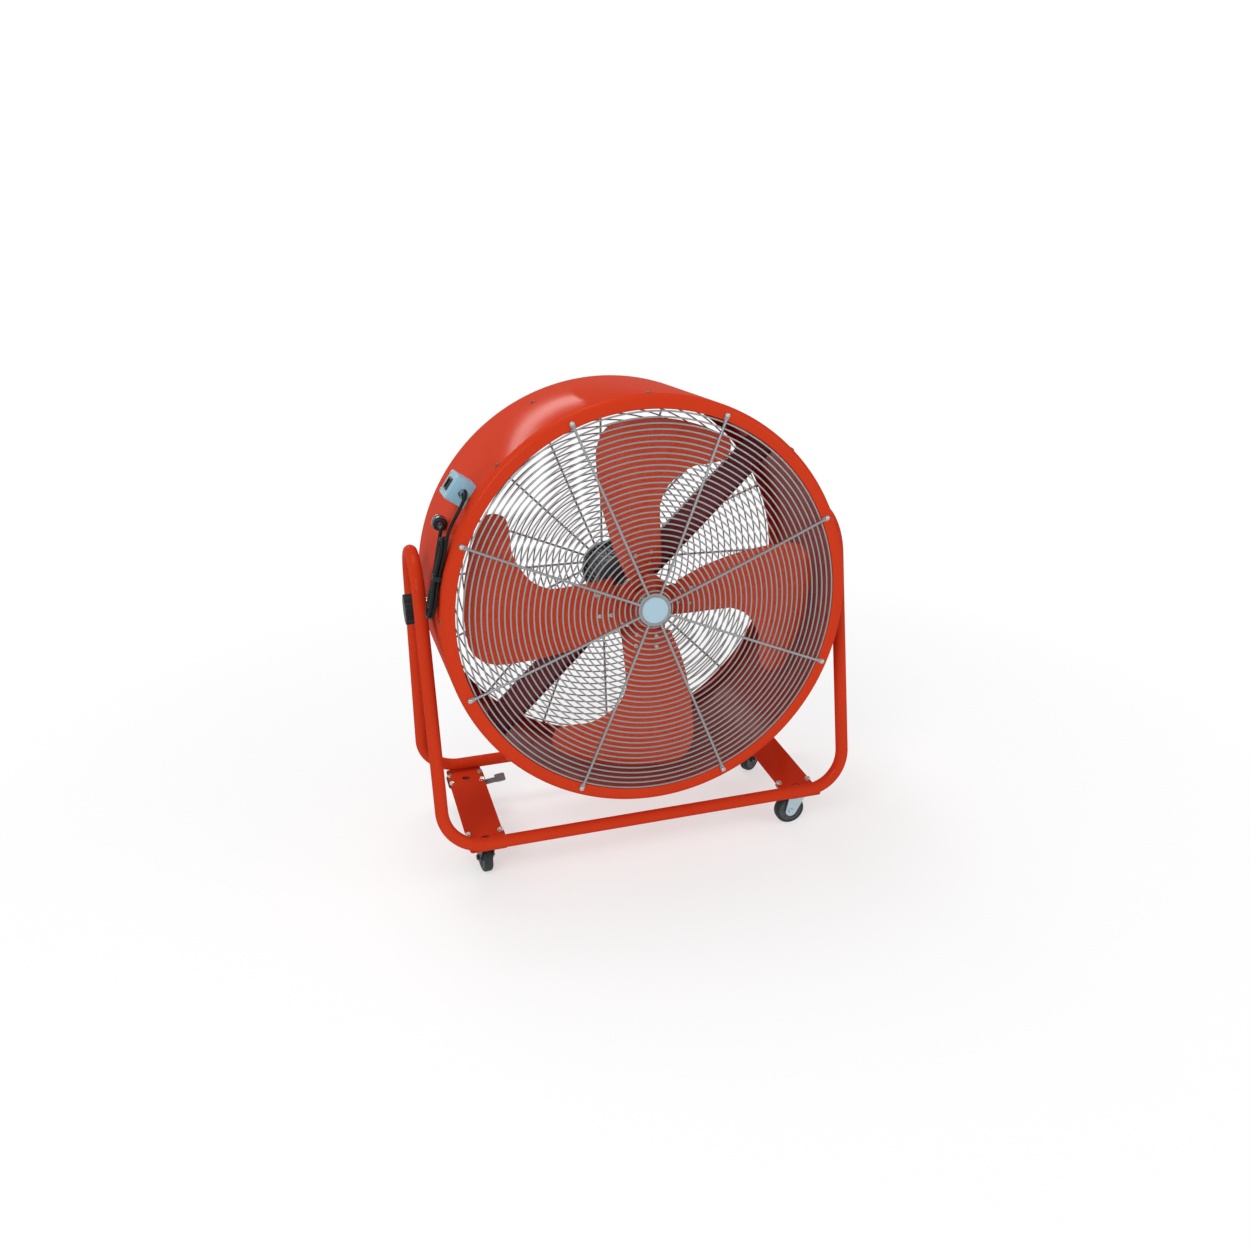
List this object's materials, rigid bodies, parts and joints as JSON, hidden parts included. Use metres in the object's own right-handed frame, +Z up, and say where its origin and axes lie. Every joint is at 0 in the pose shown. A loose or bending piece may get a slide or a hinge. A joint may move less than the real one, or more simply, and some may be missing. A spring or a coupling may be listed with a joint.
{
  "type": "mobile drum fan",
  "caption": "Axial drum fan on a tubular tilting stand with swivel casters, domed wire guards, a paddle impeller, a finned motor and a side switch box with its cord.",
  "frame": {"origin": "middle of the footprint on the floor, under the wheels", "axes": "+Z up, front of the drum towards -Y; the drum's axis lies in the YZ plane"},
  "size_m": [1.12, 0.5285, 1.2016],
  "materials": {
    "frame_paint": "gloss orange-red powder coat",
    "drum_paint": "gloss orange-red powder coat",
    "fan_paint": "gloss orange paint",
    "guard_front_coat": "light grey coat",
    "guard_rear_coat": "grey coat",
    "badge": "light blue-grey, plain",
    "zinc": "bright zinc",
    "caster_steel": "zinc plated",
    "wheel_rubber": "black",
    "pedal_grey": "grey",
    "knob_black": "moulded, black",
    "motor_paint": "dark grey paint",
    "motor_core": "laminated steel",
    "shaft_steel": "turned steel",
    "box_plastic": "light blue-grey",
    "switch_black": "black",
    "gland_black": "black",
    "cord_rubber": "black",
    "pin_brass": "bright"
  },
  "bodies": {
    "stand": {"stand_tube_left": "frame_paint", "stand_tube_right": "frame_paint", "base_strap_left": "frame_paint", "base_strap_right": "frame_paint", "pivot_plate_left": "frame_paint", "pivot_plate_right": "frame_paint", "caster_bolts": "zinc", "caster_plate_fl": "caster_steel", "caster_plate_fr": "caster_steel", "caster_plate_rl": "caster_steel", "caster_plate_rr": "caster_steel"},
    "drum": {"drum_shell": "drum_paint", "motor_strut": "drum_paint", "front_guard": "guard_front_coat", "rear_guard": "guard_rear_coat", "guard_badge": "badge", "drum_screws": "zinc", "front_guard_screws": "zinc", "rear_guard_screws": "zinc", "strut_bolts": "zinc", "switch_screws": "zinc", "pivot_boss_left": "zinc", "pivot_boss_right": "zinc", "motor_front_cover": "motor_paint", "motor_housing": "motor_paint", "motor_rear_cover": "motor_paint", "motor_stator": "motor_core", "motor_bearings": "shaft_steel", "switch_box": "box_plastic", "switch_cover": "box_plastic", "switch_bezel": "switch_black", "cable_gland": "gland_black", "cord_tie": "gland_black", "cord_lead": "cord_rubber", "cord_tail": "cord_rubber", "cord_hank": "cord_rubber", "plug": "cord_rubber", "plug_pins": "pin_brass"},
    "impeller": {"motor_shaft": "shaft_steel", "motor_rotor": "motor_core", "impeller_hub": "fan_paint", "blade_1": "fan_paint", "blade_2": "fan_paint", "blade_3": "fan_paint", "blade_4": "fan_paint", "blade_rivets": "zinc", "shaft_nut": "zinc"},
    "rocker": {"rocker_switch": "switch_black"},
    "knob_left": {"tilt_knob_left": "knob_black"},
    "knob_right": {"tilt_knob_right": "knob_black"},
    "fork_fl": {"caster_fork_fl": "caster_steel"},
    "wheel_fl": {"caster_wheel_fl": "wheel_rubber"},
    "fork_fr": {"caster_fork_fr": "caster_steel"},
    "wheel_fr": {"caster_wheel_fr": "wheel_rubber"},
    "fork_rl": {"caster_fork_rl": "caster_steel"},
    "wheel_rl": {"caster_wheel_rl": "wheel_rubber"},
    "pedal_rl": {"brake_pedal_rl": "pedal_grey"},
    "fork_rr": {"caster_fork_rr": "caster_steel"},
    "wheel_rr": {"caster_wheel_rr": "wheel_rubber"},
    "pedal_rr": {"brake_pedal_rr": "pedal_grey"}
  },
  "joints": [
    {"name": "drum_tilt", "type": "hinge", "parent": "stand", "child": "drum", "pos_m": [0, 0, 0.683], "axis": [-1, 0, 0], "range_deg": [-35, 85]},
    {"name": "impeller_spin", "type": "hinge", "parent": "drum", "child": "impeller", "pos_m": [0, 0, 0.683], "axis": [0, -0.9962, 0.0872], "continuous": true},
    {"name": "knob_left_turn", "type": "hinge", "parent": "drum", "child": "knob_left", "pos_m": [-0.56, 0, 0.683], "axis": [-1, 0, 0], "range_deg": [0, 360]},
    {"name": "knob_right_turn", "type": "hinge", "parent": "drum", "child": "knob_right", "pos_m": [0.56, 0, 0.683], "axis": [1, 0, 0], "range_deg": [0, 360]},
    {"name": "rocker_press", "type": "hinge", "parent": "drum", "child": "rocker", "pos_m": [-0.44011, -0.09666, 1.01243], "axis": [0.5878, 0.0705, 0.8059], "range_deg": [0, 20]},
    {"name": "swivel_fl", "type": "hinge", "parent": "stand", "child": "fork_fl", "pos_m": [-0.423, -0.154, 0.09], "axis": [0, 0, 1], "continuous": true},
    {"name": "roll_fl", "type": "hinge", "parent": "fork_fl", "child": "wheel_fl", "pos_m": [-0.42509, -0.13411, 0.04], "axis": [0.9945, 0.1045, 0], "continuous": true},
    {"name": "swivel_fr", "type": "hinge", "parent": "stand", "child": "fork_fr", "pos_m": [0.423, -0.154, 0.09], "axis": [0, 0, 1], "continuous": true},
    {"name": "roll_fr", "type": "hinge", "parent": "fork_fr", "child": "wheel_fr", "pos_m": [0.403, -0.154, 0.04], "axis": [0, 1, 0], "continuous": true},
    {"name": "swivel_rl", "type": "hinge", "parent": "stand", "child": "fork_rl", "pos_m": [-0.423, 0.154, 0.09], "axis": [0, 0, 1], "continuous": true},
    {"name": "roll_rl", "type": "hinge", "parent": "fork_rl", "child": "wheel_rl", "pos_m": [-0.40301, 0.1533, 0.04], "axis": [-0.0349, -0.9994, 0], "continuous": true},
    {"name": "brake_rl", "type": "hinge", "parent": "fork_rl", "child": "pedal_rl", "pos_m": [-0.40401, 0.15334, 0.0845], "axis": [0.0349, 0.9994, 0], "range_deg": [0, 9]},
    {"name": "swivel_rr", "type": "hinge", "parent": "stand", "child": "fork_rr", "pos_m": [0.423, 0.154, 0.09], "axis": [0, 0, 1], "continuous": true},
    {"name": "roll_rr", "type": "hinge", "parent": "fork_rr", "child": "wheel_rr", "pos_m": [0.40724, 0.14169, 0.04], "axis": [-0.6157, 0.788, 0], "continuous": true},
    {"name": "brake_rr", "type": "hinge", "parent": "fork_rr", "child": "pedal_rr", "pos_m": [0.40803, 0.1423, 0.0845], "axis": [0.6157, -0.788, 0], "range_deg": [0, 9]}
  ]
}
